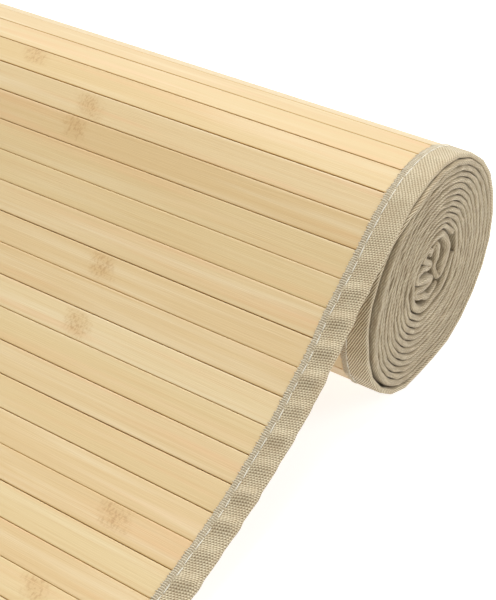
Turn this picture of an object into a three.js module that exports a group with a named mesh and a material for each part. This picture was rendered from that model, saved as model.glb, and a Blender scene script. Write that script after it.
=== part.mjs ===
import * as THREE from 'three';

// Bamboo runner, partly rolled up, slat face outwards. Millimetres, +Z up, standing on Z = 0.
// X runs along the slats. The roll lies at the back (+Y). The loose end comes off the front of the
// roll, sags down to the floor and ends flat on it, towards -Y.

// The rug as it is cut and sewn
const RUG_WIDTH = 800;
const SLAT_PITCH = 16.5;
const ROLLED_SLATS = 216;
const LOOSE_SLATS = 26;
const PANEL_THICKNESS = 2.2;
const TAPE_WIDTH = 19;
const TAPE_THICKNESS = 1;
const GAP = 0.3;
const WOUND_GAP = 0.34;

// The grooves between slats, and the puckers of the tape over each slat end
const GROOVE_WIDTH = 0.9;
const GROOVE_DEPTH = 0.8;
const PUCKER = 0.5;

// The roll, measured to the middle of the panel's thickness. The joint that parts the wound slats from
// the loose ones lies SPLIT_LENGTH down from where the panel leaves the roll.
const ROLL_RADIUS = 65;
const ROLL_HEIGHT = 64.3;
const TURN_PITCH = 3.45;
const RELEASE_ANGLE = THREE.MathUtils.degToRad(37.3);
const SPLIT_LENGTH = 3.8;

// The outer turn is loose from its underside to its front, then dives under the loose end
const LOOSE_TURN_DROP = 4.3;
const DROP_FROM = 0.8;

// The roll sags: fuller low on both sides, flat where it lies on the floor
const SAG = 0.066;
const SAG_FROM = THREE.MathUtils.degToRad(60);
const FLOOR_TURN = 0.6;
const PUCKERS_UNTIL = 0.35;

// The loose end's curve down to the floor: how far it reaches, and how stiffly it starts and lands
const REACH = 316.5;
const START_STIFFNESS = 76;
const LANDING_STIFFNESS = 173;

// Steps of the wound solids
const STEPS_PER_TURN = 24;
const FINE_STEPS_PER_TURN = 720;

// The crumpled tape end in the middle of the roll
const CORE_TURNS = 1.7;
const CORE_STEPS = 44;
const CORE_RADIUS = 4.5;
const CORE_WAVE = 0.9;
const CORE_WAVES_PER_TURN = 4.5;
const CORE_THICKNESS = 1.6;
const CORE_INSET = 2;

const HALF_PANEL = PANEL_THICKNESS / 2;
const TAPE_INNER = HALF_PANEL + GAP;
const TAPE_OUTER = TAPE_INNER + TAPE_THICKNESS;
const HALF_WOUND_TAPE = (TURN_PITCH - WOUND_GAP) / 2;
const EDGE_X = RUG_WIDTH / 2;
const PANEL_EDGE_X = EDGE_X - TAPE_THICKNESS - GAP;
const TAPE_EDGE_X = EDGE_X - TAPE_WIDTH;
const ROLL_EDGE_X = TAPE_EDGE_X - GAP;

const MATERIALS = {
  bamboo: { color: 0xe2c08c, roughness: 0.5, metalness: 0 },
  tape: { color: 0xb3a68c, roughness: 0.9, metalness: 0 },
};

const rug = new THREE.Group();

function addPiece(name, material, geometry) {
  const mesh = new THREE.Mesh(geometry, new THREE.MeshStandardMaterial(MATERIALS[material]));
  mesh.name = name;
  rug.add(mesh);
}

// A place on the panel's middle line. Points lie in the plane across the slats: x is the part's Y
// and y its Z. The normal points out of the slat face.
function station(point, ahead, extra) {
  const along = ahead.clone().normalize();
  return { point, normal: new THREE.Vector2(-along.y, along.x), ...extra };
}

// The roll, from where the panel leaves it (0 turns) over the crown, down the back and inwards
function rollPoint(turns) {
  const angle = 2 * Math.PI * turns - RELEASE_ANGLE;
  const fromCrown = Math.abs(THREE.MathUtils.euclideanModulo(angle + Math.PI, 2 * Math.PI) - Math.PI);
  const low = Math.max(0, fromCrown - SAG_FROM) / (Math.PI - SAG_FROM);
  const drop = LOOSE_TURN_DROP * THREE.MathUtils.smoothstep(turns, DROP_FROM, 1);
  const radius = ROLL_RADIUS - drop - TURN_PITCH * Math.max(0, turns - 1);
  const sagged = radius * (1 + SAG * Math.sin(Math.PI * low) ** 2);
  const bed = TAPE_OUTER + TURN_PITCH * Math.max(0, turns - FLOOR_TURN);
  return new THREE.Vector2(
    sagged * Math.sin(angle),
    Math.max(bed, ROLL_HEIGHT + sagged * Math.cos(angle)),
  );
}

// The loose end: straight off the roll, one curve down, then flat on the floor
function looseEnd() {
  const start = rollPoint(0);
  const down = new THREE.Vector2(-Math.cos(RELEASE_ANGLE), -Math.sin(RELEASE_ANGLE));
  const landing = new THREE.Vector2(start.x - REACH, TAPE_OUTER);
  const curve = new THREE.CubicBezierCurve(
    start,
    start.clone().addScaledVector(down, START_STIFFNESS),
    landing.clone().setX(landing.x + LANDING_STIFFNESS),
    landing,
  );
  return { curve, length: curve.getLength(), landing };
}

const loose = looseEnd();

function loosePoint(length) {
  if (length > loose.length) {
    return new THREE.Vector2(loose.landing.x - (length - loose.length), loose.landing.y);
  }
  return loose.curve.getPointAt(length / loose.length);
}

// The wound length, walked in fine steps from the split inwards, as turns for each length
function windRoll() {
  const walk = [{ turns: 0, length: SPLIT_LENGTH, point: rollPoint(0) }];
  while (walk.at(-1).length < ROLLED_SLATS * SLAT_PITCH) {
    const last = walk.at(-1);
    const turns = last.turns + 1 / FINE_STEPS_PER_TURN;
    const point = rollPoint(turns);
    walk.push({ turns, length: last.length + point.distanceTo(last.point), point });
  }
  return walk;
}

const walk = windRoll();
const TURNS = walk.at(-1).turns;

function turnsAtLength(length) {
  return walk.find((step) => step.length >= length).turns;
}

function rollStation(turns, extra = {}) {
  const step = 1 / FINE_STEPS_PER_TURN;
  const ahead = rollPoint(turns + step).sub(rollPoint(Math.max(0, turns - step)));
  return station(rollPoint(turns), ahead, { turns, ...extra });
}

function looseStation(length, extra = {}) {
  const ahead = loosePoint(Math.max(0, length - 1)).sub(loosePoint(length + 1));
  return station(loosePoint(length), ahead, extra);
}

// Stations at the slat joints and halfway between them, on the loose end and on the outer turn.
// They run from the front end of the rug towards its wound end.
function looseStations() {
  const stations = [];
  for (let slat = LOOSE_SLATS; slat >= 0; slat -= 0.5) {
    const length = SPLIT_LENGTH + Math.max(GAP, slat * SLAT_PITCH);
    stations.push(looseStation(length, { joint: Number.isInteger(slat) }));
  }
  return stations;
}

function outerTurnStations() {
  const stations = [];
  for (let slat = 0.5, turns = 0; turns < 1; slat += 0.5) {
    turns = turnsAtLength(slat * SLAT_PITCH);
    stations.push(rollStation(turns, { joint: Number.isInteger(slat) }));
  }
  return stations.filter((place) => place.turns < 1);
}

// The point at this distance from a station's place on the middle line, out of the slat face
function offset(place, distance) {
  return place.point.clone().addScaledVector(place.normal, distance);
}

// One closed solid swept through stations. sectionAt gives each station's outline as pairs of
// x and distance from the middle line, counter-clockwise seen along the sweep.
function sweep(stations, sectionAt) {
  const sections = stations.map((place) => sectionAt(place));
  const size = sections[0].length;
  const positions = stations.flatMap((place, i) => sections[i].flatMap(([x, distance]) => {
    const point = offset(place, distance);
    return [x, point.x, point.y];
  }));
  const indices = [];
  for (let i = 0; i < stations.length - 1; i++) {
    for (let k = 0; k < size; k++) {
      const here = i * size + k;
      const next = i * size + ((k + 1) % size);
      indices.push(here, next + size, next, here, here + size, next + size);
    }
  }
  const lastRow = (stations.length - 1) * size;
  const outline = sections[0].map(([x, distance]) => new THREE.Vector2(x, distance));
  for (const [a, b, c] of THREE.ShapeUtils.triangulateShape(outline, [])) {
    indices.push(a, b, c, lastRow + c, lastRow + b, lastRow + a);
  }
  const geometry = new THREE.BufferGeometry();
  geometry.setAttribute('position', new THREE.Float32BufferAttribute(positions, 3));
  geometry.setIndex(indices);
  return geometry;
}

// A solid of one outline across the slats, drawn out along them
function acrossRug(outline, fromX, toX) {
  const geometry = new THREE.ExtrudeGeometry(new THREE.Shape(outline), {
    depth: toX - fromX,
    bevelEnabled: false,
  });
  const alongSlats = new THREE.Matrix4().makeBasis(
    new THREE.Vector3(0, 1, 0),
    new THREE.Vector3(0, 0, 1),
    new THREE.Vector3(1, 0, 0),
  );
  return geometry.applyMatrix4(alongSlats).translate(fromX, 0, 0);
}

// The slat face, with a groove cut to each joint
function slatFace(stations) {
  return stations.flatMap((place, i) => {
    if (!place.joint || i === 0 || i === stations.length - 1) {
      return place.joint ? [offset(place, HALF_PANEL)] : [];
    }
    const side = (other) => {
      const face = offset(place, HALF_PANEL);
      const along = offset(other, HALF_PANEL).sub(face).setLength(GROOVE_WIDTH / 2);
      return face.add(along);
    };
    return [
      side(stations[i - 1]),
      offset(place, HALF_PANEL - GROOVE_DEPTH),
      side(stations[i + 1]),
    ];
  });
}

// Slat panel: the wound part as one solid, the loose part as a sheet
function buildPanel() {
  const split = looseStation(SPLIT_LENGTH, { joint: true });
  const turn = [split, ...outerTurnStations(), rollStation(1, { joint: true })];
  addPiece('slat_panel_roll', 'bamboo', acrossRug(slatFace(turn), -ROLL_EDGE_X, ROLL_EDGE_X));

  const stations = looseStations();
  const underside = stations
    .filter((place) => place.joint)
    .map((place) => offset(place, -HALF_PANEL))
    .reverse();
  const outline = [...slatFace(stations), ...underside];
  addPiece('slat_panel_loose_end', 'bamboo', acrossRug(outline, -PANEL_EDGE_X, PANEL_EDGE_X));
}

// Edge binding on the loose end: a tape folded over the slat ends, puckered once for each slat
function buildLooseBinding(name, side) {
  const section = ({ joint }) => {
    const face = TAPE_OUTER + (joint ? 0 : PUCKER);
    const outline = [
      [TAPE_EDGE_X, TAPE_OUTER],
      [TAPE_EDGE_X, TAPE_INNER],
      [EDGE_X - TAPE_THICKNESS, TAPE_INNER],
      [EDGE_X - TAPE_THICKNESS, -TAPE_INNER],
      [TAPE_EDGE_X, -TAPE_INNER],
      [TAPE_EDGE_X, -TAPE_OUTER],
      [EDGE_X, -TAPE_OUTER],
      [EDGE_X, TAPE_OUTER],
      [EDGE_X - TAPE_WIDTH / 2, face],
    ];
    return side > 0 ? outline : outline.map(([x, distance]) => [-x, distance]).reverse();
  };
  const stations = looseStations();
  addPiece(name, 'tape', sweep(stations, section));
}

// Edge binding on the roll: the same tape wound up, its turns a little apart
function buildRollBinding(name, side) {
  const wound = [];
  for (let step = STEPS_PER_TURN; step / STEPS_PER_TURN < TURNS; step++) {
    wound.push(rollStation(step / STEPS_PER_TURN));
  }
  const split = looseStation(SPLIT_LENGTH, { joint: true, turns: 0 });
  const stations = [split, ...outerTurnStations(), ...wound];
  const section = ({ turns, joint }) => {
    const tightening = THREE.MathUtils.smoothstep(turns, DROP_FROM, 1);
    const edge = THREE.MathUtils.lerp(TAPE_OUTER, HALF_WOUND_TAPE, tightening);
    const pucker = turns < PUCKERS_UNTIL && !joint ? PUCKER : 0;
    const outline = [
      [TAPE_EDGE_X, edge],
      [TAPE_EDGE_X, -HALF_WOUND_TAPE],
      [EDGE_X, -HALF_WOUND_TAPE],
      [EDGE_X, edge],
      [EDGE_X - TAPE_WIDTH / 2, edge + pucker],
    ];
    return side > 0 ? outline : outline.map(([x, distance]) => [-x, distance]).reverse();
  };
  addPiece(name, 'tape', sweep(stations, section));
}

// End binding, folded over the front edge between the two edge bindings
function buildFrontBinding() {
  const end = looseStation(SPLIT_LENGTH + LOOSE_SLATS * SLAT_PITCH).point;
  const fold = end.x - GAP - TAPE_THICKNESS;
  const corner = (fromFold, height) => new THREE.Vector2(fold + fromFold, end.y + height);
  const outline = [
    corner(0, -TAPE_OUTER),
    corner(TAPE_WIDTH, -TAPE_OUTER),
    corner(TAPE_WIDTH, -TAPE_INNER),
    corner(TAPE_THICKNESS, -TAPE_INNER),
    corner(TAPE_THICKNESS, TAPE_INNER),
    corner(TAPE_WIDTH, TAPE_INNER),
    corner(TAPE_WIDTH, TAPE_OUTER),
    corner(0, TAPE_OUTER),
  ];
  addPiece('binding_front', 'tape', acrossRug(outline, -ROLL_EDGE_X, ROLL_EDGE_X));
}

// The tape's inner end, curled and crumpled in the middle of the roll
function buildCoreBinding(name, side) {
  const lastPoint = walk.at(-1).point;
  const centre = new THREE.Vector2(0, ROLL_HEIGHT);
  const startAngle = Math.atan2(lastPoint.x, lastPoint.y - ROLL_HEIGHT);
  const startRadius = lastPoint.distanceTo(centre) - TURN_PITCH;
  const place = (fraction) => {
    const turns = fraction * CORE_TURNS;
    const angle = startAngle + 2 * Math.PI * turns;
    const wave = CORE_WAVE * Math.sin(2 * Math.PI * turns * CORE_WAVES_PER_TURN) * fraction;
    const radius = THREE.MathUtils.lerp(startRadius, CORE_RADIUS, fraction) + wave;
    return new THREE.Vector2(radius * Math.sin(angle), radius * Math.cos(angle)).add(centre);
  };
  const stations = [];
  for (let step = 0; step <= CORE_STEPS; step++) {
    const here = step / CORE_STEPS;
    const ahead = place(here + 0.5 / CORE_STEPS).sub(place(here - 0.5 / CORE_STEPS));
    stations.push(station(place(here), ahead));
  }
  const half = CORE_THICKNESS / 2;
  const outline = [
    [TAPE_EDGE_X, half],
    [TAPE_EDGE_X, -half],
    [EDGE_X - CORE_INSET, -half],
    [EDGE_X - CORE_INSET, half],
  ];
  const mirrored = outline.map(([x, distance]) => [-x, distance]).reverse();
  addPiece(name, 'tape', sweep(stations, () => (side > 0 ? outline : mirrored)));
}

buildPanel();
for (const [name, side] of [['right', 1], ['left', -1]]) {
  buildLooseBinding(`binding_loose_${name}`, side);
  buildRollBinding(`binding_roll_${name}`, side);
  buildCoreBinding(`binding_core_${name}`, side);
}
buildFrontBinding();

// The origin is on the floor, in the middle of the rug's outline
const box = new THREE.Box3().setFromObject(rug);
rug.position.y = -(box.min.y + box.max.y) / 2;

export default rug;
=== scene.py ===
import math

import bmesh
import bpy
import numpy as np
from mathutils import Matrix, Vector


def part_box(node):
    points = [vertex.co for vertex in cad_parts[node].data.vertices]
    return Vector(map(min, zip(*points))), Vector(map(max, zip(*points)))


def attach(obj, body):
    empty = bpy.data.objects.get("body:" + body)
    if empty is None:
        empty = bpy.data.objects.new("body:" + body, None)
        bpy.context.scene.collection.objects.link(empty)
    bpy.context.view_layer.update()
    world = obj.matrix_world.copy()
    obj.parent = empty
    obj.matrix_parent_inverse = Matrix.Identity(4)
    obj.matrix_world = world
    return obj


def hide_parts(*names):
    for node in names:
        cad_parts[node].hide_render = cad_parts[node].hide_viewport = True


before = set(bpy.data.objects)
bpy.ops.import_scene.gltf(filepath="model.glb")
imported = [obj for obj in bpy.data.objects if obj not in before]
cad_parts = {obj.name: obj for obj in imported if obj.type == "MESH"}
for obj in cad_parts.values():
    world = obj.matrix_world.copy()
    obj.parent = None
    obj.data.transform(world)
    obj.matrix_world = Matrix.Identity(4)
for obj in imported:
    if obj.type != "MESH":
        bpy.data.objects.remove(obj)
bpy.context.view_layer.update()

# Lengths are in millimetres, and MM turns them into metres. The rug is worked out with the roll's
# axis at Y = 0. A length along it counts from the split joint, where the solids' two panels meet:
# negative on the loose end, positive round the roll and inwards.
MM = 0.001

# The rug as it is cut and sewn
SLAT_PITCH = 16.5
SLAT_WIDTH = 16.28
SLAT_THICK = 1.6
SLAT_END_INSET = 3.1
ROLLED_SLATS = 216
LOOSE_SLATS = 26
SLAT_FACE = 1.1
WEB_THICK = 0.4
TAPE_THICK = 0.5
CLEARANCE = 0.05

# The roll, measured to the middle of the panel, as the solids have it
ROLL_RADIUS = 65
ROLL_HEIGHT = 64.3
TURN_PITCH = 3.45
RELEASE_ANGLE = math.radians(37.3)
SPLIT_LENGTH = 3.8
SAG = 0.066
SAG_FROM = math.radians(60)
FLOOR_TURN = 0.6
SOLID_TAPE_OUTER = 2.4
SOLID_FRONT_FOLD = 1.3

# The turns lie closer together at the roll's front than at its back
PITCH_MEAN = 0.985
PITCH_SWING = 0.11
WIDEST_PITCH = math.radians(140)

# How far inside the loose outer turn the others lie, by the degrees from the crown over the back
TURN_DROPS = [
    (0, 3), (25, 2.8), (60, 2.2), (90, 1.8), (150, 1.5),
    (200, 1.7), (235, 3.3), (270, 3.3), (320, 2.9), (360, 3),
]
DROP_TURNS = (0.88, 1.02)

# The outer turns bulge at the back of the roll, with a wider gap inside them
BACK_MIDDLE = math.radians(84)
BACK_SPREAD = math.radians(50)
BACK_FULL = math.radians(15)
BULGE = 1.2
BULGE_FADES_FROM = 0.6
GAP_SHIFT = 1.3
GAP_TURN = 3.9
GAP_BLEND = 0.2
GAP_CLOSES_FROM = 5.4
GAP_CLOSED_BY = 9.5

# Uneven winding: waves for each turn, and dents that the inner turns share
SLACK = [{"waves": 2.71, "size": 0.14}, {"waves": 4.37, "size": 0.1}]
SLACK_TURNS = (1, 1.4)
DENTS = [{"sides": 3, "size": 0.9, "start": 0.6}, {"sides": 5, "size": 0.6, "start": 2.1}]
DENT_TURNS = (8.5, 12.5)

# The loose end's curve down to the floor, and the flat stretch past it: its start, end and points
REACH = 316.5
START_STIFFNESS = 76
LANDING_STIFFNESS = 173
CURVE_POINTS = 1500
FLAT_STRETCH = (0.5, 100, 200)

# How far the thin cloth settles below the middle line of the thicker solids, to lie on the floor
SETTLE = 0.75
SETTLE_FROM = -120
SETTLE_TO = -330

# The panel is flat from joint to joint, and less so where it is wound tightly
FACETS_LOST = 0.6
FACETS_LOST_OVER = (420, 900)


def smoothstep(value, low, high):
    t = np.clip((value - low) / (high - low), 0, 1)
    return t * t * (3 - 2 * t)


def between(first, last, share):
    return first + (last - first) * share


def from_table(rows, place):
    """The value at a place in a table of places and values, eased from row to row."""
    places, values = np.array(rows, float).T
    index = np.clip(np.searchsorted(places, place, side="right") - 1, 0, len(rows) - 2)
    share = smoothstep(place, places[index], places[index + 1])
    return values[index] * (1 - share) + values[index + 1] * share


def wander(places, wavelength, seed):
    """Smooth random values from -1 to 1 along a length."""
    steps = np.asarray(places, float) / wavelength
    first = math.floor(steps.min())
    knots = np.random.RandomState(seed).uniform(-1, 1, math.ceil(steps.max()) - first + 2)
    index = np.floor(steps - first).astype(int)
    share = smoothstep(steps - first - index, 0, 1)
    return knots[index] * (1 - share) + knots[index + 1] * share


def wave(places, row, seed=0):
    """Unevenness along a length, by a row of its size, its wavelength and its own seed."""
    size, wavelength, own_seed = row
    return size * wander(places, wavelength, seed + own_seed)


def interpolated(at, length, points):
    return np.stack([np.interp(at, length, points[:, i]) for i in (0, 1)], axis=-1)


# The path of the rug

def angle_from(angle, place):
    """How far an angle lies from a place round the roll, from 0 to pi."""
    return np.abs((angle - place + math.pi) % (2 * math.pi) - math.pi)


def roll_points(turns):
    """The roll's middle line as (Y, Z), from where the panel leaves it (0 turns) inwards."""
    angle = 2 * math.pi * turns - RELEASE_ANGLE
    drop = from_table(TURN_DROPS, np.degrees(angle) % 360) * smoothstep(turns, *DROP_TURNS)
    at_back = smoothstep(-angle_from(angle, BACK_MIDDLE), -BACK_SPREAD, -BACK_FULL)
    bulge = BULGE * at_back * (1 - smoothstep(turns, BULGE_FADES_FROM, GAP_TURN))
    opening = GAP_SHIFT * at_back * smoothstep(turns, GAP_TURN - GAP_BLEND, GAP_TURN + GAP_BLEND)
    opening = opening * (1 - smoothstep(turns, GAP_CLOSES_FROM, GAP_CLOSED_BY))
    pitch = TURN_PITCH * (PITCH_MEAN + PITCH_SWING * np.cos(angle - WIDEST_PITCH))
    slack = sum(row["size"] * np.sin(2 * math.pi * row["waves"] * turns) for row in SLACK)
    dents = sum(row["size"] * np.sin(row["sides"] * angle + row["start"]) for row in DENTS)
    radius = ROLL_RADIUS - drop + bulge - opening - pitch * np.maximum(0, turns - 1)
    radius = radius + slack * smoothstep(turns, *SLACK_TURNS) + dents * smoothstep(turns, *DENT_TURNS)
    low = np.maximum(0, angle_from(angle, 0) - SAG_FROM) / (math.pi - SAG_FROM)
    sagged = radius * (1 + SAG * np.sin(math.pi * low) ** 2)
    bed = SOLID_TAPE_OUTER - SETTLE + TURN_PITCH * np.maximum(0, turns - FLOOR_TURN)
    height = np.maximum(bed, ROLL_HEIGHT + sagged * np.cos(angle))
    return np.stack([sagged * np.sin(angle), height], axis=1)


def loose_points():
    """The loose end from the roll down to the floor, and flat on it to past its front."""
    start = roll_points(np.array([0.0]))[0]
    landing = np.array([start[0] - REACH, SOLID_TAPE_OUTER])
    down = np.array([-math.cos(RELEASE_ANGLE), -math.sin(RELEASE_ANGLE)])
    handles = [start, start + START_STIFFNESS * down, landing + [LANDING_STIFFNESS, 0], landing]
    t = np.linspace(0, 1, CURVE_POINTS)[:, None]
    weights = [(1 - t) ** 3, 3 * t * (1 - t) ** 2, 3 * t**2 * (1 - t), t**3]
    curve = sum(weight * handle for weight, handle in zip(weights, handles))
    on_floor = np.linspace(*FLAT_STRETCH)
    flat = landing - np.stack([on_floor, np.zeros_like(on_floor)], axis=1)
    return np.vstack([curve, flat])


def left_of(directions):
    """These directions, each turned a quarter to its left."""
    return np.stack([-directions[..., 1], directions[..., 0]], axis=-1)


def normals_to(directions):
    return left_of(directions / np.linalg.norm(directions, axis=1)[:, None])


def arc_lengths(points):
    steps = np.linalg.norm(np.diff(points, axis=0), axis=1)
    return np.concatenate([[0], np.cumsum(steps)])


class Path:
    """The rug's middle line, by the length along it."""

    FINE = 0.5
    SOFTENED = 5
    MOST_TURNS = 16
    STEPS_A_TURN = 900

    def __init__(self):
        turns = np.arange(0, self.MOST_TURNS, 1 / self.STEPS_A_TURN)
        loose = loose_points()
        points = np.vstack([loose[:0:-1], roll_points(turns)])
        length = arc_lengths(points)
        length += SPLIT_LENGTH - length[len(loose) - 1]
        points[:, 1] -= SETTLE * smoothstep(-length, -SETTLE_FROM, -SETTLE_TO)
        self.smooth = (length, points)
        self.turns = (length[len(loose) - 1:], turns)
        self.first = -LOOSE_SLATS * SLAT_PITCH
        self.last = ROLLED_SLATS * SLAT_PITCH
        self.joints = np.arange(-LOOSE_SLATS, ROLLED_SLATS + 1) * SLAT_PITCH
        self.at = np.arange(self.first, self.last + self.FINE, self.FINE)
        chord = interpolated(self.at, self.joints, self.on_smooth(self.joints))
        facets = 1 - FACETS_LOST * smoothstep(self.at, *FACETS_LOST_OVER)
        self.points = self.soften(between(self.on_smooth(self.at), chord, facets[:, None]))
        self.normals = normals_to(self.soften(np.gradient(self.points, axis=0)))

    def on_smooth(self, at):
        """Points on the middle line before it is bent at the joints."""
        return interpolated(at, *self.smooth)

    def soften(self, values):
        """The mean of each value and its neighbours."""
        kernel = np.ones(self.SOFTENED) / self.SOFTENED
        margin = self.SOFTENED // 2
        padded = np.pad(values, ((margin, margin), (0, 0)), mode="reflect", reflect_type="odd")
        return np.stack([np.convolve(padded[:, i], kernel, "valid") for i in (0, 1)], axis=1)

    def point(self, at):
        return interpolated(at, self.at, self.points)

    def normal(self, at):
        found = interpolated(at, self.at, self.normals)
        return found / np.linalg.norm(found, axis=-1, keepdims=True)

    def turn_at(self, at):
        return np.interp(at, *self.turns)


path = Path()

# The rug's side edges and its front end, as the solids have them, and the roll's axis
EDGE_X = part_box("binding_loose_right")[1].x / MM
FRONT_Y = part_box("binding_front")[0].y / MM + SOLID_FRONT_FOLD
ROLL_Y = FRONT_Y - path.on_smooth(np.array([path.first]))[0, 0]


# Meshes

def ring_faces(rows, size, start):
    """Quads between rows of rings, and the two end faces."""
    faces = []
    for row in range(rows - 1):
        here = start + row * size
        for k in range(size):
            after = (k + 1) % size
            faces.append((here + k, here + after, here + size + after, here + size + k))
    faces.append(tuple(start + k for k in range(size)))
    faces.append(tuple(start + (rows - 1) * size + k for k in range(size - 1, -1, -1)))
    return faces


def closed(name, bodies, material, smooth=True, **attributes):
    """A piece of like closed bodies, an array of bodies of rings of points (X, Y from the roll's axis,
    Z) in millimetres. Its material reads the attributes, a vector for each point, by name."""
    count, rows, size = bodies.shape[:3]
    faces = []
    for body in range(count):
        faces += ring_faces(rows, size, body * rows * size)
    mesh = bpy.data.meshes.new(name)
    mesh.from_pydata(((bodies.reshape(-1, 3) + [0, ROLL_Y, 0]) * MM).tolist(), [], faces)
    mesh.materials.append(material)
    shell = bmesh.new()
    shell.from_mesh(mesh)
    bmesh.ops.recalc_face_normals(shell, faces=shell.faces)
    shell.to_mesh(mesh)
    shell.free()
    mesh.polygons.foreach_set("use_smooth", [smooth] * len(mesh.polygons))
    for attribute, values in attributes.items():
        stored = mesh.attributes.new(attribute, "FLOAT_VECTOR", "POINT")
        stored.data.foreach_set("vector", np.ascontiguousarray(values, np.float32).ravel())
    piece = bpy.data.objects.new(name, mesh)
    bpy.context.collection.objects.link(piece)
    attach(piece, "root")
    return piece


# Materials

class Shader:
    """A node material around one Principled shader."""

    def __init__(self, name, roughness, sheen=0.0):
        self.material = bpy.data.materials.new(name)
        self.material.use_nodes = True
        self.tree = self.material.node_tree
        self.surface = self.tree.nodes["Principled BSDF"]
        self.feed(self.surface, {"Roughness": roughness, "Sheen Weight": sheen})
        self.colour = None

    def add(self, kind, **settings):
        node = self.tree.nodes.new("ShaderNode" + kind)
        for key, value in settings.items():
            setattr(node, key, value)
        return node

    def feed(self, node, inputs):
        """Links or sets a node's inputs, by their names or numbers."""
        for key, value in inputs.items():
            if isinstance(value, bpy.types.NodeSocket):
                self.tree.links.new(value, node.inputs[key])
            else:
                node.inputs[key].default_value = value

    def math(self, operation, *values):
        node = self.add("Math", operation=operation)
        self.feed(node, dict(enumerate(values)))
        return node.outputs[0]

    def times(self, *values):
        return self.math("MULTIPLY", *values)

    def total(self, *values):
        found = values[0]
        for value in values[1:]:
            found = self.math("ADD", found, value)
        return found

    def fade(self, value, low, high):
        """0 at low and 1 at high, smoothly."""
        node = self.add("MapRange", interpolation_type="SMOOTHSTEP")
        self.feed(node, {"Value": value, "From Min": low, "From Max": high})
        return node.outputs[0]

    def split(self, attribute):
        source = self.add("Attribute", attribute_name=attribute)
        node = self.add("SeparateXYZ")
        self.feed(node, {0: source.outputs["Vector"]})
        return node.outputs

    def noise(self, x, y, z, blobs, detail=2):
        """Noise of this many blobs a unit of x and y, from 0 to 1."""
        place = self.add("CombineXYZ")
        self.feed(place, {0: self.times(x, blobs[0]), 1: self.times(y, blobs[1]), 2: z})
        node = self.add("TexNoise")
        self.feed(node, {"Vector": place.outputs[0], "Scale": 1, "Detail": detail})
        return node.outputs["Fac"]

    def mix(self, share, first, second):
        node = self.add("Mix", data_type="RGBA")
        self.feed(node, {"Factor": share, "A": first, "B": second})
        return node.outputs["Result"]

    def tint(self, second, mask, most):
        """Adds a second colour, by a mask that counts up to this much."""
        self.colour = self.mix(self.times(mask, most), self.colour, second)

    def pattern(self, second, noise, row):
        """Adds a second colour where the noise shows, by a row of a material's patterns."""
        self.tint(second, self.fade(noise, row["from"], row["full"]), row["most"])

    def bump(self, height, distance, strength=1.0):
        node = self.add("Bump")
        self.feed(node, {"Distance": distance * MM, "Strength": strength, "Height": height})
        self.feed(self.surface, {"Normal": node.outputs[0]})

    def paint(self, colour):
        self.feed(self.surface, {"Base Color": colour})


def rgb(red, green, blue):
    """A colour as a screen shows it, from 0 to 255, for a shader."""
    linear = []
    for value in (red, green, blue):
        value /= 255
        linear.append(value / 12.92 if value <= 0.04045 else ((value + 0.055) / 1.055) ** 2.4)
    return (*linear, 1)


# The bamboo's patterns: blobs a metre along the slat and across it, the noise from which each shows
# and at which it is full, and how much it counts
PINK = {"blobs": (5, 110), "from": 0.5, "full": 0.72, "most": 0.6}
PALE = {"blobs": (6, 140), "from": 0.45, "full": 0.75, "most": 0.5}
STREAKS = {"blobs": (9, 520), "detail": 3, "from": 0.45, "full": 0.75, "most": 0.3}
FIBRES = {"blobs": (45, 2300), "from": 0.45, "full": 0.8, "most": 0.12}
SPOTS = {"blobs": (900, 480), "detail": 4, "from": 0.46, "full": 0.62, "most": 0.85}
PALE_SHIFT = 3.3
GREENEST = 0.45
ROUGHNESS = 0.4
FIBRE_ROUGHNESS = 0.2

# A culm mark: how far it spreads each way and where it is full, its slant, and its ragged edge
MARK_ALONG = {"spread": 12, "full": 1}
MARK_ACROSS = {"spread": 9, "full": 3}
MARK_SLANT = 0.5
MARK_RAGGED = 14
RAGGED_BLOBS = (150, 300)
MARK_MOST = 0.8

# How far in a slat's edges are browned, towards the rug's loose end and away from it. The wider rim
# towards the loose end is also painted shade, for the edge that turns away from the light.
SHADED_LOWER_RIM = 0.5
UPPER_RIM = 0.1
RIM_MOST = 0.9


def culm_mark(shader, along, across, seed):
    """How strongly a slat's culm mark shows at a place."""
    mark_along, mark_across, strength = shader.split("culm_marks")
    aside = shader.math("SUBTRACT", across, mark_across)
    ragged = shader.math("SUBTRACT", shader.noise(along, across, seed, RAGGED_BLOBS), 0.5)
    gap = shader.total(
        shader.math("SUBTRACT", along, mark_along),
        shader.times(aside, MARK_SLANT),
        shader.times(ragged, MARK_RAGGED * MM),
    )
    shares = [
        shader.fade(shader.math("ABSOLUTE", distance), row["spread"] * MM, row["full"] * MM)
        for distance, row in ((gap, MARK_ALONG), (aside, MARK_ACROSS))
    ]
    return shader.times(shader.times(*shares), strength)


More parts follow.
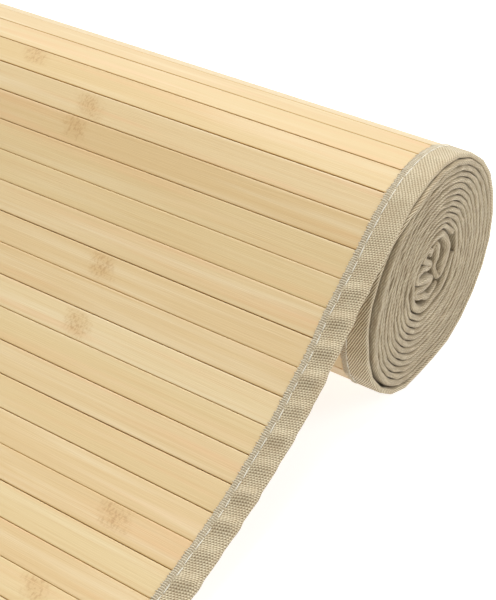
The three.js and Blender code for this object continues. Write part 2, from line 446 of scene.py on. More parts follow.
def bamboo():
    """Honey-coloured bamboo, with a tone for each slat, fibres, browned edges with painted shade on
    their downhill side, and culm marks.
    """
    shader = Shader("bamboo", ROUGHNESS, sheen=0.28)
    along, across, seed = shader.split("slat_place")
    tone, green_tone, dark = shader.split("slat_tone")
    streak_brown = rgb(196, 160, 104)

    def noise(row, z=seed):
        return shader.noise(along, across, z, row["blobs"], row.get("detail", 2))

    streaks, fibres = noise(STREAKS), noise(FIBRES)
    shader.colour = shader.mix(tone, rgb(216, 193, 147), rgb(206, 175, 123))
    shader.pattern(rgb(217, 175, 128), noise(PINK), PINK)
    pale = noise(PALE, shader.total(seed, PALE_SHIFT))
    shader.pattern(rgb(226, 209, 172), pale, PALE)
    shader.tint(rgb(209, 187, 134), green_tone, GREENEST)
    shader.pattern(streak_brown, streaks, STREAKS)
    shader.pattern(streak_brown, fibres, FIBRES)
    mark = culm_mark(shader, along, across, seed)
    shader.tint(streak_brown, mark, MARK_MOST)
    spots = shader.times(mark, shader.fade(noise(SPOTS), SPOTS["from"], SPOTS["full"]))
    shader.tint(rgb(170, 124, 70), spots, SPOTS["most"])
    # Brown rims: the slats' browned edges, with painted shade in the wider rim towards the loose end
    shaded_lower_rim = shader.fade(across, SHADED_LOWER_RIM * MM, 0)
    upper_rim = shader.fade(across, (SLAT_WIDTH - UPPER_RIM) * MM, SLAT_WIDTH * MM)
    browned_and_shaded_rims = shader.math("MAXIMUM", shaded_lower_rim, upper_rim)
    shader.tint(rgb(182, 134, 44), browned_and_shaded_rims, RIM_MOST)
    shader.paint(shader.mix(dark, shader.colour, streak_brown))
    roughness = shader.total(shader.times(fibres, FIBRE_ROUGHNESS), ROUGHNESS)
    shader.feed(shader.surface, {"Roughness": roughness})
    shader.bump(shader.total(streaks, fibres), distance=0.08)
    return shader.material


# The tape's weave: families of ridges, by how many cross a millimetre along and across it, and how
# strong each is on the loose end, over the crown, and round the rest of the outer turn
WEAVE = [
    {"along": 0.42, "across": 0.57, "loose": 0.22, "crown": 0.26, "turn": 0.1},
    {"along": 0.38, "across": -0.77, "loose": 0.34, "crown": 0.12, "turn": 0.95},
    {"along": 0.8, "across": -0.2, "loose": 0.44, "crown": 0.12, "turn": 0.1},
]
CROWN_FROM = 0
TURN_FROM = 230
WOUND_FROM = 440
WEAVE_BLEND = 25
WEAVE_CONTRAST = 0.8
WOUND_FLATNESS = 0.6
SELVEDGE_WIDTH = 3.2
SELVEDGE_RIB = 1.235
SELVEDGE_BLEND = 0.3

# The tape's patterns, as the bamboo's but by the millimetre, each with its own seed
WOBBLE = {"blobs": (0.3, 0.3), "seed": 1.3, "most": 3}
UNEVEN = {"blobs": (0.9, 0.9), "seed": 3.1, "from": 0.4, "full": 0.8, "most": 0.3}
BROAD = {"blobs": (0.11, 0.16), "seed": 7.7, "from": 0.35, "full": 0.75, "most": 0.22}
CREASES = {"blobs": (0.13, 1.7), "detail": 3, "seed": 5.2, "from": 0.62, "full": 0.4, "most": 0.55}

# How high the uneven threads and the creases stand, against the weave
UNEVEN_RELIEF = 0.6
CREASE_RELIEF = -0.8


def tape():
    """Taupe woven tape with a ribbed selvedge; where it is wound up it shows long creases, darkened with
    painted shade.
    """
    shader = Shader("tape", roughness=0.88, sheen=0.15)
    along, across = (shader.math("DIVIDE", place, MM) for place in shader.split("tape_place")[:2])

    def past(length):
        return shader.fade(along, length - WEAVE_BLEND, length + WEAVE_BLEND)

    def noise(row):
        return shader.noise(along, across, row["seed"], row["blobs"], row.get("detail", 2))

    crown, turn, wound = past(CROWN_FROM), past(TURN_FROM), past(WOUND_FROM)
    wobble = shader.times(noise(WOBBLE), WOBBLE["most"])
    ridges = []
    for row in WEAVE:
        phase = shader.total(
            shader.times(along, row["along"] * 2 * math.pi),
            shader.times(across, row["across"] * 2 * math.pi),
            wobble,
        )
        weight = shader.total(
            row["loose"],
            shader.times(crown, row["crown"] - row["loose"]),
            shader.times(turn, row["turn"] - row["crown"]),
        )
        ridges.append(shader.times(shader.math("COSINE", phase), weight))
    weave = shader.fade(shader.total(*ridges), -WEAVE_CONTRAST, WEAVE_CONTRAST)
    to_flat = shader.math("SUBTRACT", 0.5, weave)
    weave = shader.total(weave, shader.times(shader.times(wound, WOUND_FLATNESS), to_flat))
    uneven = noise(UNEVEN)
    creases = shader.times(shader.fade(noise(CREASES), CREASES["from"], CREASES["full"]), wound)
    shader.colour = shader.mix(weave, rgb(122, 100, 68), rgb(222, 208, 175))
    shader.pattern(rgb(224, 213, 186), uneven, UNEVEN)
    shader.pattern(rgb(158, 130, 94), noise(BROAD), BROAD)
    # The creases' darker tint is painted shade in their sunk lines
    shader.tint(rgb(128, 111, 84), creases, CREASES["most"])
    ribs = shader.math("COSINE", shader.times(along, 2 * math.pi / SELVEDGE_RIB))
    edge_colour = shader.mix(shader.fade(ribs, -1, 1), rgb(150, 133, 105), rgb(210, 198, 170))
    in_selvedge = shader.fade(across, SELVEDGE_WIDTH + SELVEDGE_BLEND, SELVEDGE_WIDTH - SELVEDGE_BLEND)
    shader.paint(shader.mix(in_selvedge, shader.colour, edge_colour))
    reliefs = shader.times(uneven, UNEVEN_RELIEF), shader.times(creases, CREASE_RELIEF)
    shader.bump(shader.total(weave, *reliefs), distance=0.18, strength=0.8)
    return shader.material


TWIST_LENGTH = 0.55


def thread(name, light, dark):
    """Twisted sewing thread."""
    shader = Shader(name, roughness=0.75, sheen=0.2)
    along, around, _ = shader.split("thread_place")
    twist = shader.total(shader.math("DIVIDE", along, TWIST_LENGTH * MM), around)
    ply = shader.math("ABSOLUTE", shader.math("SINE", shader.times(twist, math.pi)))
    shader.paint(shader.mix(ply, dark, light))
    shader.bump(ply, distance=0.06)
    return shader.material


WEB_MESH = 1.1


def web():
    """The thin gauze that the slats are glued to."""
    shader = Shader("backing_gauze", roughness=0.9)
    along, across, _ = shader.split("web_place")
    waves = [
        shader.math("ABSOLUTE", shader.math("SINE", shader.times(way, math.pi / (WEB_MESH * MM))))
        for way in (along, across)
    ]
    threads = shader.times(*waves)
    shader.paint(shader.mix(threads, rgb(182, 136, 44), rgb(138, 100, 30)))
    shader.bump(threads, distance=0.15)
    return shader.material


FLOOR_GLOW = 0.75
FLOOR_BLOBS = 3
FLOOR_SPOTS = (0.3, 0.7)


def floor_paint():
    """A pale floor that glows a little, as white as the photograph's ground."""
    shader = Shader("pale_floor", roughness=0.9)
    place = shader.add("TexCoord")
    grain = shader.add("TexNoise")
    shader.feed(grain, {"Vector": place.outputs["Object"], "Scale": FLOOR_BLOBS})
    spots = shader.fade(grain.outputs["Fac"], *FLOOR_SPOTS)
    shader.paint(shader.mix(spots, rgb(192, 192, 191), rgb(188, 188, 187)))
    shader.feed(shader.surface, {"Emission Color": (1, 1, 1, 1), "Emission Strength": FLOOR_GLOW})
    return shader.material


# Slats

# Culm marks that show, by the slat counted from the split joint: the mark's X, how far it lies from
# the slat's lower edge, and how strong they are
SEEN_MARKS = {
    1: (142, 12), 0: (198, 8), -1: (196, 10), -5: (256, 9), -7: (262, 8), -12: (343, 10), -15: (335, 11),
}
SEEN_STRENGTH = 0.55

# The other slats' marks: how far left of the middle, how far from the lower edge, and how strong
OTHER_MARKS = {"left": (60, 380), "across": (3, 13), "strength": (0.2, 0.5)}

# How much darker than the others the darkest slat is
DARKEST = 0.25

# The fold's edge lies this far past the slat ends at least
FOLD_PAST_SLATS = 2.4

# A slat's section, from its edge to its flat face: how far in and how far down
SLAT_EDGE = [(0, 0.3), (0.08, 0.19), (0.5, 0.05), (0.9, 0)]

# How unevenly the slats are cut and glued: their tilt in degrees, place and width, and waves (size,
# wavelength, seed) along their edges and out of their plane
SLAT_TILT = 0.35
SLAT_SHIFT = 0.06
SLAT_WIDENING = (-0.08, 0.07)
EDGE_WAVE = (0.04, 110, 0)
LIFT_WAVE = (0.07, 260, 0)
WAVES_START = -900

# How far apart the slats lie in the bamboo's noise, and how many seeds their waves have
SLAT_SEED = 7300
WAVE_SEEDS = 1 << 30

SLAT_STEPS = 32
HIDDEN_SLAT_STEPS = 2
OUTER_TURN_SLATS = 30


def slat_section():
    """Points (across, height) round a slat, whose upper edges are rounded."""
    half = SLAT_WIDTH / 2
    edge = [(half - inward, -down) for inward, down in SLAT_EDGE]
    mirrored = [(-across, height) for across, height in reversed(edge)]
    return np.array([(-half, -SLAT_THICK), (half, -SLAT_THICK), *edge, *mirrored])


def slat_reach(at):
    """How far the slat ends lie from the rug's middle, as the panel is wound a little askew."""
    return EDGE_X - np.maximum(SLAT_END_INSET, from_table(EDGE_INSETS, at) + FOLD_PAST_SLATS)


def slat_body(draw, slat, steps):
    """A slat between its joint and the next: rings of points, and their places on the slat."""
    ends = np.array([slat, slat + 1]) * SLAT_PITCH
    half_length = slat_reach(ends).min()
    x = np.linspace(-half_length, half_length, steps + 1)
    first, last = path.on_smooth(ends) + SLAT_FACE * path.normal(ends)
    along = (last - first) / np.linalg.norm(last - first)
    tilt = math.radians(draw.uniform(-SLAT_TILT, SLAT_TILT))
    along = along * math.cos(tilt) + left_of(along) * math.sin(tilt)
    out = left_of(along)
    middle = (first + last) / 2 + draw.uniform(-SLAT_SHIFT, SLAT_SHIFT) * along
    widening = draw.uniform(*SLAT_WIDENING)

    upper, lower, lift = (
        wave(x - WAVES_START, row, draw.randint(WAVE_SEEDS)) for row in (EDGE_WAVE, EDGE_WAVE, LIFT_WAVE)
    )
    upper, lower = widening + upper, lower - widening
    section = slat_section()
    body = np.zeros((steps + 1, len(section), 3))
    places = np.zeros_like(body)
    for k, (across, height) in enumerate(section):
        shift = upper if across > 0 else lower
        inner = middle + across * along + height * out
        body[:, k, 0] = x
        body[:, k, 1:] = inner + shift[:, None] * along + lift[:, None] * out
        places[:, k, 0] = x
        places[:, k, 1] = across + SLAT_WIDTH / 2
        places[:, k, 2] = slat * SLAT_SEED
    return body, places * MM


def slat_look(draw, slat):
    """A slat's tones, and its culm mark's place and strength."""
    tone = (draw.uniform(0, 1), draw.uniform(0, 1) ** 2, draw.uniform(0, 1) ** 4 * DARKEST)
    if slat in SEEN_MARKS:
        x, across, strength = *SEEN_MARKS[slat], SEEN_STRENGTH
    else:
        left, across, strength = (draw.uniform(*ends) for ends in OTHER_MARKS.values())
        x = -left
    return tone, (x * MM, across * MM, strength)


def add_slats(name, slats, steps, seed, material):
    """Slats as one piece, and what their material reads."""
    draw = np.random.RandomState(seed)
    rows = []
    for slat in slats:
        body, place = slat_body(draw, slat, steps)
        tone, mark = (np.broadcast_to(look, body.shape) for look in slat_look(draw, slat))
        rows.append((body, place, tone, mark))
    bodies, places, tones, marks = map(np.array, zip(*rows))
    looks = {"slat_place": places, "slat_tone": tones, "culm_marks": marks}
    piece = closed(name, bodies, material, smooth=False, **looks)
    return piece


def add_web(material):
    """The gauze under the slats: flat below each slat and bent at each joint."""
    corners = path.on_smooth(path.joints)
    normals = path.normal(path.joints)
    top = SLAT_FACE - SLAT_THICK - CLEARANCE
    sides = (-1, 0, 1)
    ring = [(side, top) for side in sides] + [(side, top - WEB_THICK) for side in sides[::-1]]
    stations = np.zeros((len(path.joints), len(ring), 3))
    places = np.zeros_like(stations)
    for k, (side, height) in enumerate(ring):
        stations[:, k, 0] = side * slat_reach(path.joints)
        stations[:, k, 1:] = corners + height * normals
        places[:, k, 0] = path.joints * MM
        places[:, k, 1] = stations[:, k, 0] * MM
    piece = closed("backing_web", stations[None], material, web_place=places)
    return piece


# The edge tape

FOLD_STEPS = 8
TOP_STEPS = np.array([0, 0.1, 0.2, 0.27, 0.34, 0.43, 0.53, 0.64, 0.76, 0.88, 1])
TAPE_ABOVE = SLAT_FACE + CLEARANCE + TAPE_THICK
TAPE_BELOW = TAPE_THICK + 2 * CLEARANCE + SLAT_THICK + WEB_THICK - SLAT_FACE

# Where it is wound, it fills half the gap to the next turn but for a crevice, up to a thickness
CREVICE = 0.2
THICKEST_HALF = 2.6

# The lower face ends this far nearer the fold than the upper one
UNDERSIDE_INSET = 1

# The fold over the slat ends: wide and round on the loose end, short and square on the roll
LOOSE_FOLD = {"reach": 2.6, "square": 1.0}
WOUND_FOLD = {"reach": 1.9, "square": 0.64}
FRONT_SQUARE = 0.8
CORE_SQUARE = 0.8

# The tape is loose from this far down the loose end, and wound from the roll's second turn
LOOSE_LENGTH = (10, 70)
WOUND_TURNS = (0.97, 1.1)

# The tape's width on the slat face, by the length along the rug
TAPE_WIDTHS = [
    (-420, 15.6), (-214, 15.3), (-165, 14.4), (-115, 15), (-82, 15.9), (-50, 17.6), (0, 17.6), (66, 17),
]

# How far the fold lies inside the rug's edge, by the length along the rug
EDGE_INSETS = [
    (-100, 0.2), (-66, 1.6), (-40, 2.6), (0, 2.2), (33, 1.7), (75, 1.7),
    (115, -0.4), (300, -0.4), (345, 1.2), (375, 3), (405, 3.2), (440, 0.1),
]

# How far the stitches lie from the tape's inner edge, and over which distance the puckers start
STITCH_INSET = 3.3
PUCKERED_FROM = (STITCH_INSET - 0.5, STITCH_INSET + 1.5)

# A pucker's crest lies downhill of its joint at the tape's middle, and uphill nearer the fold
CREST_MIDDLE = 8
CREST_DOWN = 2.7
CREST_LEAN = 0.29
CREST_UPHILL = 5.5
CREST_DOWNHILL = 7
CREST_HEIGHT = 2.1
CREST_SIZES = (0.65, 1.15)
CREST_COUNT = 600
CREST_FADE = (-14, 60)

# How much of a pucker the fold's edge takes up, outwards and upwards, and at which place
EDGE_PUCKER = 0.35
FOLD_PUCKER = 0.4
EDGE_FROM_MIDDLE = 6

# The fold's edge draws in a little at each slat's middle
SCALLOP = 0.22

# Where the tape is wound, its edge is crumpled, more so over the crown
CRUMPLE = 0.14
CROWN_CRUMPLE = 0.22

# The tape's unevenness: each kind's size, wavelength and seed
TAPE_WAVES = {
    "width": (0.25, 40, 0),
    "edge": (0.15, 70, 1),
    "crumple": (1, 4.5, 2),
    "face": (0.12, 7, 4),
    "underside": (0.08, 23, 5),
    "bend": (0.3, 6, 6),
    "sway": (0.3, 31, 7),
}
CREST_SEED = 3


def pucker(at, from_middle, seed):
    """The height of the tape's creases over the joints of the loose end."""
    shifted = at + CREST_DOWN - CREST_LEAN * from_middle
    joint = np.round(shifted / SLAT_PITCH).astype(int)
    uphill = shifted - joint * SLAT_PITCH
    share = 1 - np.clip(np.where(uphill > 0, uphill / CREST_UPHILL, -uphill / CREST_DOWNHILL), 0, 1)
    sizes = np.random.RandomState(seed).uniform(*CREST_SIZES, CREST_COUNT)
    size = sizes[joint % CREST_COUNT]
    return CREST_HEIGHT * size * smoothstep(share, 0, 1) * smoothstep(-at, *CREST_FADE)


def squared(value, exponent):
    """A sine or cosine, pushed out towards those of a square section."""
    return np.sign(value) * np.abs(value) ** exponent


def fold_angles(steps):
    """Angles round a fold from its upper face to its lower one, without the two ends."""
    return np.linspace(math.pi / 2, -math.pi / 2, steps + 2)[1:-1]


def fold_arc(angles, end, reach, middle, half, square, upright=None):
    """Points (across, height) round a fold that starts at end."""
    upright = square if upright is None else upright
    return [
        (
            end + reach * squared(math.cos(angle), square),
            middle + half * squared(math.sin(angle), upright),
        )
        for angle in angles
    ]


def add_folded(name, rings, to_points, at, material, across_from=0):
    """A folded tape through rings of (across, height), each an array along it or a number."""
    rings = [np.broadcast_arrays(across, height, at)[:2] for across, height in rings]
    travelled = [np.full(len(at), float(across_from))]
    for (across, height), (next_across, next_height) in zip(rings, rings[1:]):
        travelled.append(travelled[-1] + np.hypot(next_across - across, next_height - height))
    stations = np.stack([to_points(across, height) for across, height in rings], axis=1)
    places = np.zeros_like(stations)
    places[..., 0] = at[:, None] * MM
    places[..., 1] = np.stack(travelled, axis=1) * MM
    piece = closed(name, stations[None], material, tape_place=places)
    return piece


def along_path(centre, normal, side):
    """Turns (x, height) into points, on the rug's right or left side."""
    def to_points(x, height):
        return np.concatenate([(side * x)[:, None], centre + height[:, None] * normal], axis=1)

    return to_points


def turn_gaps(turns):
    """The distances from each place to the next turn outside it and inside it."""
    return [
        np.linalg.norm(roll_points(other) - roll_points(turns), axis=1)
        for other in (np.maximum(turns - 1, 0), turns + 1)
    ]


# Steps along the tape: where each stretch starts, and its step
TAPE_STEPS = [(path.first, 1.1), (40, 1.6), (450, 1.6)]


def tape_lengths():
    """Where the tape's stations are."""
    starts, steps = zip(*TAPE_STEPS)
    ends = (*starts[1:], path.last)
    return np.concatenate([np.arange(*row) for row in zip(starts, ends, steps)] + [[path.last]])


def tape_rings(at, seed):
    """The folded tape's thin shell, as rings of (x, height) round it."""
    waves = {kind: wave(at, row, seed) for kind, row in TAPE_WAVES.items()}
    turns = path.turn_at(at)
    wound = smoothstep(turns, *WOUND_TURNS)
    loose = smoothstep(-at, *LOOSE_LENGTH)
    outer_gap, inner_gap = turn_gaps(turns)
    above = between(TAPE_ABOVE, np.minimum(outer_gap / 2 - CREVICE, THICKEST_HALF), wound)
    below = between(TAPE_BELOW, np.minimum(inner_gap / 2 - CREVICE, THICKEST_HALF), wound)
    below = below + waves["underside"] * (1 - wound)

    at_crown = 0.5 + 0.5 * np.cos(2 * math.pi * turns)
    crumple = (CRUMPLE + CROWN_CRUMPLE * at_crown) * waves["crumple"] + waves["sway"]
    scallop = SCALLOP * loose * np.cos(2 * math.pi * at / SLAT_PITCH)
    edge = EDGE_X - (from_table(EDGE_INSETS, at) + scallop) + waves["edge"] + crumple * wound
    edge = edge + EDGE_PUCKER * pucker(at, EDGE_FROM_MIDDLE, seed + CREST_SEED)
    reach, square = (between(WOUND_FOLD[key], LOOSE_FOLD[key], loose) for key in ("reach", "square"))
    start = EDGE_X - (from_table(TAPE_WIDTHS, at) + waves["width"])
    end = edge - reach
    rings = []
    for share in TOP_STEPS:
        x = between(start, end, share)
        past_stitches = smoothstep(x - start, *PUCKERED_FROM)
        crest = pucker(at, x - (EDGE_X - CREST_MIDDLE), seed + CREST_SEED)
        rings.append((x, above + (crest + waves["face"]) * past_stitches))
    middle, half = (above - below) / 2, (above + below) / 2
    angles = fold_angles(FOLD_STEPS)
    swell = FOLD_PUCKER * crest + waves["bend"] * wound
    outside = fold_arc(angles, end, reach, middle, half, square)
    for angle, (x, height) in zip(angles, outside):
        rings.append((x, height + swell * max(0, math.sin(angle)) ** 2))
    under = start + UNDERSIDE_INSET
    rings += [(between(under, end, share), -below) for share in (1, 0.5, 0)]
    rings += [(between(under, end, share), TAPE_THICK - below) for share in (0, 1)]
    inner_reach, inner_half = reach - TAPE_THICK, half - TAPE_THICK
    rings += fold_arc(angles[::-2], end, inner_reach, middle, inner_half, square)
    rings += [(between(start, end, share), above - TAPE_THICK) for share in (1, 0.5, 0)]
    return rings


def add_edge_tape(name, side, seed, material):
    at = tape_lengths()
    to_points = along_path(path.point(at), path.normal(at), side)
    return add_folded(name, tape_rings(at, seed), to_points, at, material)


# Stitches and selvedge ribs

STITCH_PITCH = SLAT_PITCH / 2
STITCH_LENGTH = 7.3
STITCH_ZIGZAG = 0.3
STITCH_RAISED = 0.05
STITCH_BAR = {"half_width": 0.32, "half_height": 0.26, "arch": 0.16}
FIRST_STITCH = 4.5
SEWN_UNTIL = 440

# The selvedge's ribs: how far their loops stand past the tape's edge, at least and by chance, how far
# their other ends lie inside the selvedge, and how deep both are sunk
RIB_BAR = {"half_width": 0.36, "half_height": 0.24, "arch": 0.18}
FIRST_RIB = 0.6
LOOPS = {"least": 0.2, "chance": 0.9}
RIB_LEAN = 0.3
RIB_INSET = 0.5
RIB_UNEVEN = (-0.4, 0.2)
RIB_SUNK = 0.02
LOOP_SUNK = 0.25

# A bar is as thick at its ends as it is this share of its length further in
BAR_END = 0.06


def bars(starts, ends, ups, half_width, half_height, arch, sides=6, steps=4):
    """Small round bars, each arched from its start to its end, as bodies of rings."""
    along = ends - starts
    across = np.cross(along, ups)
    across /= np.linalg.norm(across, axis=1)[:, None]
    share = np.linspace(0, 1, steps + 1)
    swell = np.sin(np.pi * np.clip(share, BAR_END, 1 - BAR_END)) ** 0.5
    angles = 2 * math.pi * np.arange(sides) / sides
    bodies = np.zeros((len(starts), steps + 1, sides, 3))
    for i, t in enumerate(share):
        centre = starts + along * t + ups * (arch * math.sin(math.pi * t))
        for k, angle in enumerate(angles):
            bodies[:, i, k] = (
                centre
                + across * (half_width * swell[i] * math.cos(angle))
                + ups * (half_height * swell[i] * math.sin(angle))
            )
    return bodies


def add_threads(name, bodies, material):
    """Bars as one piece, with each point's place along its thread and round it."""
    count, rows, sides = bodies.shape[:3]
    steps = np.linalg.norm(np.diff(bodies.mean(axis=2), axis=1), axis=2)
    along = np.concatenate([np.zeros((count, 1)), np.cumsum(steps, axis=1)], axis=1)
    places = np.zeros_like(bodies)
    places[..., 0] = along[:, :, None] * MM
    places[..., 1] = np.arange(sides) / sides
    piece = closed(name, bodies, material, thread_place=places)
    return piece


def on_tape(at, inset, height, side):
    """Points on the tape, this far from its inner edge, and the directions out of it."""
    x = EDGE_X - from_table(TAPE_WIDTHS, at) + inset
    normal = path.normal(at)
    points = along_path(path.point(at), normal, side)(x, np.full_like(at, height))
    return points, np.concatenate([np.zeros((len(at), 1)), normal], axis=1)


def add_stitches(name, side, seed, material):
    draw = np.random.RandomState(seed)
    starts = np.arange(path.first + FIRST_STITCH, SEWN_UNTIL, STITCH_PITCH)
    insets = STITCH_INSET + draw.uniform(-STITCH_ZIGZAG, STITCH_ZIGZAG, (2, len(starts)))
    height = TAPE_ABOVE + STITCH_RAISED
    first, ups = on_tape(starts, insets[0], height, side)
    last, _ = on_tape(starts + STITCH_LENGTH, insets[1], height, side)
    return add_threads(name, bars(first, last, ups, **STITCH_BAR, sides=7, steps=6), material)


def add_selvedge(name, side, seed, material):
    """The ribs of the tape's woven edge, whose loops stand unevenly past it."""
    draw = np.random.RandomState(seed)
    at = np.arange(path.first + FIRST_RIB, SEWN_UNTIL, SELVEDGE_RIB)
    outer = -LOOPS["least"] - LOOPS["chance"] * draw.uniform(0, 1, len(at))
    lean = draw.uniform(-RIB_LEAN, RIB_LEAN, len(at))
    inner = SELVEDGE_WIDTH - RIB_INSET + draw.uniform(*RIB_UNEVEN, len(at))
    height = TAPE_ABOVE - RIB_SUNK
    first, ups = on_tape(at + lean, outer, height - LOOP_SUNK, side)
    last, _ = on_tape(at, inner, height, side)
    return add_threads(name, bars(first, last, ups, **RIB_BAR), material)


# The end binding at the front, between the edge tapes

FRONT_WIDTH = 16
FRONT_INSET = 15.5
FRONT_FOLD_PAST = 1.2
FRONT_RAISED = 0.15
FRONT_STEPS = 330
FRONT_HALF = EDGE_X - FRONT_INSET
FRONT_END = path.point(np.array([path.first]))[0]

# The binding's unevenness: its ridges, small and smaller, and its fold's edge
FRONT_RIDGE = (0.2, 11, 91)
FRONT_CRINKLE = (0.12, 5, 92)
FRONT_FOLD = (0.3, 60, 93)
FRONT_RIDGED = (0.25, 0.5)

# Its stitches and ribs
FRONT_SEED = 77
FRONT_FIRST_STITCH = 2
FRONT_LOOPS = {"least": 0.35, "chance": 0.45}
FRONT_RIB_INSET = 0.55


def add_front(material):
    """The same tape across the rug's front end: a closed thin shell along X."""
    x = np.linspace(-FRONT_HALF, FRONT_HALF, FRONT_STEPS)
    ridge = wave(x, FRONT_RIDGE) + wave(x, FRONT_CRINKLE)
    above = TAPE_ABOVE + FRONT_RAISED
    reach = LOOSE_FOLD["reach"]
    end = FRONT_END[0] - FRONT_FOLD_PAST + wave(x, FRONT_FOLD) + reach
    start = FRONT_END[0] + FRONT_WIDTH
    upper = [
        (between(start, end, share), above + ridge * smoothstep(share, *FRONT_RIDGED))
        for share in TOP_STEPS
    ]
    middle, half = (above - TAPE_BELOW) / 2, (above + TAPE_BELOW) / 2
    angles = fold_angles(FOLD_STEPS)
    under = start - UNDERSIDE_INSET
    inner_reach, inner_half = reach - TAPE_THICK, half - TAPE_THICK
    rings = upper + fold_arc(angles, end, -reach, middle, half, FRONT_SQUARE, 1)
    low, inner_low = -TAPE_BELOW, TAPE_THICK - TAPE_BELOW
    rings += [(end, low), (under, low), (under, inner_low), (end, inner_low)]
    rings += fold_arc(angles[::-2], end, -inner_reach, middle, inner_half, FRONT_SQUARE, 1)
    rings += [(y, height - TAPE_THICK) for y, height in reversed(upper)]

    def to_points(y, height):
        return np.stack([x, y, FRONT_END[1] + height], axis=1)

    return add_folded("tape_front", rings, to_points, x, material)


def add_front_threads(stitch_material, rib_material):
    """The front binding's stitches and selvedge ribs."""
    draw = np.random.RandomState(FRONT_SEED)
    inner_edge = FRONT_END[0] + FRONT_WIDTH
    top = FRONT_END[1] + TAPE_ABOVE + FRONT_RAISED

    def bodies(x, y, sizes):
        """Bars from their first x and y to their second."""
        first, last = (np.stack([*place, np.full_like(place[0], top)], axis=1) for place in zip(x, y))
        return bars(first, last, np.tile([0, 0, 1.0], (len(first), 1)), **sizes)

    left_end = -FRONT_HALF
    last_start = FRONT_HALF - STITCH_LENGTH
    starts = np.arange(left_end + FRONT_FIRST_STITCH, last_start, STITCH_PITCH)
    zigzag = draw.uniform(-STITCH_ZIGZAG, STITCH_ZIGZAG, (2, len(starts)))
    line = inner_edge - STITCH_INSET + zigzag
    stitches = bodies((starts, starts + STITCH_LENGTH), line, STITCH_BAR)
    x = np.arange(left_end + FIRST_RIB, FRONT_HALF, SELVEDGE_RIB)
    outer = inner_edge + FRONT_LOOPS["least"] + FRONT_LOOPS["chance"] * draw.uniform(0, 1, len(x))
    inner = np.full_like(x, inner_edge - SELVEDGE_WIDTH + FRONT_RIB_INSET)
    ribs = bodies((x, x), (outer, inner), RIB_BAR)
    return [
        add_threads("stitches_front", stitches, stitch_material),
        add_threads("selvedge_front", ribs, rib_material),
    ]


# The tape's crumpled inner end

# Its route: Y and Z from the roll's axis, how far its edge lies inside the rug's, and its thickness
CORE_ROUTE = [
    (21.5, 1, 0.8, 3.6), (20, -6, 0.6, 4.2), (14.5, -13, 0.4, 5), (6, -18, 0.5, 5),
    (-3.5, -19.6, 0.4, 4.6), (-13, -16.2, 0.3, 4.6), (-20.5, -9.2, 0.3, 4.4), (-24, -1, 0.2, 3.6),
    (-22.6, 8, 0.3, 3.8), (-15.5, 16.5, 0.4, 4), (-6, 21.3, 0.6, 4), (4, 21.6, 0.8, 4.2),
    (11.5, 17, 1, 4.6), (14.6, 9.5, 0.5, 6), (13.8, 1, 0.6, 7.4), (9.8, -7.5, 1.6, 5),
    (6.2, -2, 3.4, 4), (5.8, 5.5, 1.5, 4.6), (5, 12.5, 0.9, 4.6), (2, 16.5, 2, 3.4),
    (0.8, 10, 3.4, 3), (-2, 14.5, 1.8, 3.4), (-7.5, 18, 1.2, 3.4), (-12, 15, 0.8, 3.6),
    (-7, 10.2, 1.6, 4), (0, 4.6, 2.6, 3.8), (-4, 4.6, 2, 3.2), (-11.5, 8.6, 1, 3.8),
    (-18, 8.2, 0.6, 4), (-17, 3.2, 0.8, 4), (-8, -0.2, 0.6, 5.6), (1, -5, 2.2, 4),
    (-3, -6.6, 1.8, 3.6), (-11, -4.4, 1, 3.6), (-18.6, -2.2, 0.6, 4), (-17.2, -6.4, 0.6, 3.8),
    (-9.5, -9.4, 0.8, 4.2), (-4, -13.2, 0.9, 4), (4, -13.4, 1.4, 4), (8.5, -12.5, 1.8, 3.6),
]
CORE_STEPS = 10
CORE_DEPTH = 19
CORE_THINNEST = 1.6
CORE_FOLD_STEPS = 7
CORE_FACE = (0, 0.5, 0.8, 1)

# How deep the crumpled tape's rounded edge is, at least and by half its thickness
CORE_FOLD = {"least": 0.8, "by_half": 0.5}

# Its unevenness, to the side of its route and at its edge
CORE_SWAY = (0.35, 5, 0)
CORE_EDGE = (0.5, 7, 2)


def through(points, steps):
    """A smooth curve through points, with this many steps to each stretch."""
    points = np.vstack([2 * points[0] - points[1], points, 2 * points[-1] - points[-2]])
    t = (np.arange(steps) / steps)[:, None]
    curve = [
        0.5 * (2 * b + (c - a) * t + (2 * a - 5 * b + 4 * c - d) * t**2 + (3 * b - a - 3 * c + d) * t**3)
        for a, b, c, d in zip(points, points[1:], points[2:], points[3:])
    ]
    return np.vstack(curve + [points[-2:-1]])


def add_core(name, side, seed, material):
    route = through(np.array(CORE_ROUTE, float), CORE_STEPS)
    centre = route[:, :2] + [0, ROLL_HEIGHT]
    length = arc_lengths(centre)
    normal = normals_to(np.gradient(centre, axis=0))
    centre = centre + wave(length, CORE_SWAY, seed)[:, None] * normal
    half = np.maximum(route[:, 3], CORE_THINNEST) / 2
    edge = EDGE_X - route[:, 2] + wave(length, CORE_EDGE, seed)
    inner = EDGE_X - CORE_DEPTH
    end = edge - CORE_FOLD["least"] - CORE_FOLD["by_half"] * half
    rings = [(between(inner, end, share), half) for share in CORE_FACE]
    rings += fold_arc(fold_angles(CORE_FOLD_STEPS), end, edge - end, 0, half, CORE_SQUARE)
    rings += [(between(inner, end, share), -half) for share in CORE_FACE[::-1]]
    to_points = along_path(centre, normal, side)
    past_outer_turn = length + 2 * WOUND_FROM
    past_selvedge = SELVEDGE_WIDTH + 1
    piece = add_folded(name, rings, to_points, past_outer_turn, material, past_selvedge)
    return piece


# Floor, light and camera

FLOOR_SIZE = 12
WORLD_LIGHT = 0.42

# The lights, in metres and watts: from above, from the right towards the roll's end, and a weak cool
# one from behind, for the shine over the crown
LIT_POINT = (0.2, 0.05, 0.05)
LIGHTS = [
    {"name": "overhead", "place": (0.1, 0.5, 2.2), "size": 1.3, "watts": 41},
    {"name": "right_fill", "place": (1.9, 1.1, 1), "size": 1.2, "watts": 15.5},
    {"name": "back", "place": (-0.8, 1.5, 1.4), "size": 1.3, "watts": 8, "colour": (0.75, 0.92, 1)},
]


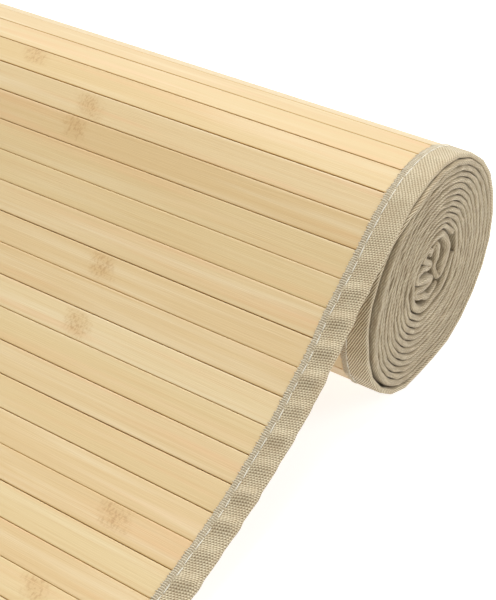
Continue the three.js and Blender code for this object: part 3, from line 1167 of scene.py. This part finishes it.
def add_floor():
    bpy.ops.mesh.primitive_plane_add(size=FLOOR_SIZE, location=(0, 0, 0))
    floor = bpy.context.object
    floor.name = "floor"
    floor.data.materials.append(floor_paint())


def placed(name, data, place, direction):
    """An object that looks in a direction from its place."""
    item = bpy.data.objects.new(name, data)
    item.location = place
    item.rotation_mode = "QUATERNION"
    item.rotation_quaternion = direction.to_track_quat("-Z", "Y")
    bpy.context.collection.objects.link(item)
    return item


def add_light(name, place, size, watts, colour=(1, 1, 1)):
    light = bpy.data.lights.new(name, "AREA")
    light.shape = "DISK"
    light.size = size
    light.energy = watts
    light.color = colour
    placed(name, light, place, Vector(LIT_POINT) - Vector(place))


def add_world():
    world = bpy.data.worlds.new("studio")
    world.use_nodes = True
    background = world.node_tree.nodes["Background"].inputs
    background["Color"].default_value = (1, 1, 1, 1)
    background["Strength"].default_value = WORLD_LIGHT
    bpy.context.scene.world = world


# The photograph's viewpoint, fitted to the joint lines: direction, place and focal length
AZIMUTH = math.radians(34.1332)
ELEVATION = math.radians(36.7671)
CAMERA_PLACE = Vector((648.487, -355.932, 487.223)) * MM
FOCAL_PIXELS = 1362.76
IMAGE_HEIGHT = 600
SENSOR = 36


def add_camera():
    camera = bpy.data.cameras.new("camera")
    camera.sensor_width = SENSOR
    camera.lens = SENSOR * FOCAL_PIXELS / IMAGE_HEIGHT
    camera.clip_start = 0.01
    camera.clip_end = 50
    level = math.cos(ELEVATION)
    forward = Vector((-math.sin(AZIMUTH) * level, math.cos(AZIMUTH) * level, -math.sin(ELEVATION)))
    bpy.context.scene.camera = placed("camera", camera, CAMERA_PLACE, forward)
    bpy.context.scene.view_settings.view_transform = "Standard"


# The seeds of the slats, of each side's tape, and what the side's other pieces add to its seed
SLAT_SEEDS = {"loose": 11, "outer": 12, "inner": 13}
SIDES = (("right", 1, 100), ("left", -1, 200))
STITCH_SEED = 20
RIB_SEED = 30
CORE_SEED = 40


def build_rug():
    bamboo_material, cloth = bamboo(), tape()
    white = thread("stitch_thread", rgb(240, 235, 220), rgb(200, 191, 170))
    rib = thread("selvedge_thread", rgb(228, 217, 192), rgb(180, 166, 139))

    def slats(name, first, last, steps, seed):
        return add_slats(name, range(first, last), steps, SLAT_SEEDS[seed], bamboo_material)

    loose = slats("slats_loose_end", -LOOSE_SLATS, 0, SLAT_STEPS, "loose")
    outer = slats("slats_outer_turn", 0, OUTER_TURN_SLATS, SLAT_STEPS, "outer")
    inner = slats("slats_inner_turns", OUTER_TURN_SLATS, ROLLED_SLATS, HIDDEN_SLAT_STEPS, "inner")
    backing = add_web(web())
    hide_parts("slat_panel_loose_end")
    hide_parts("slat_panel_roll")
    for name, side, seed in SIDES:
        edge = add_edge_tape(f"tape_{name}", side, seed, cloth)
        sewing = add_stitches(f"stitches_{name}", side, seed + STITCH_SEED, white)
        ribs = add_selvedge(f"selvedge_{name}", side, seed + RIB_SEED, rib)
        core = add_core(f"tape_core_{name}", side, seed + CORE_SEED, cloth)
        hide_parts(f"binding_loose_{name}", f"binding_roll_{name}")
        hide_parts(f"binding_core_{name}")
    front = add_front(cloth)
    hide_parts("binding_front")
    threads = add_front_threads(white, rib)


add_floor()
add_world()
for row in LIGHTS:
    add_light(**row)
add_camera()
build_rug()
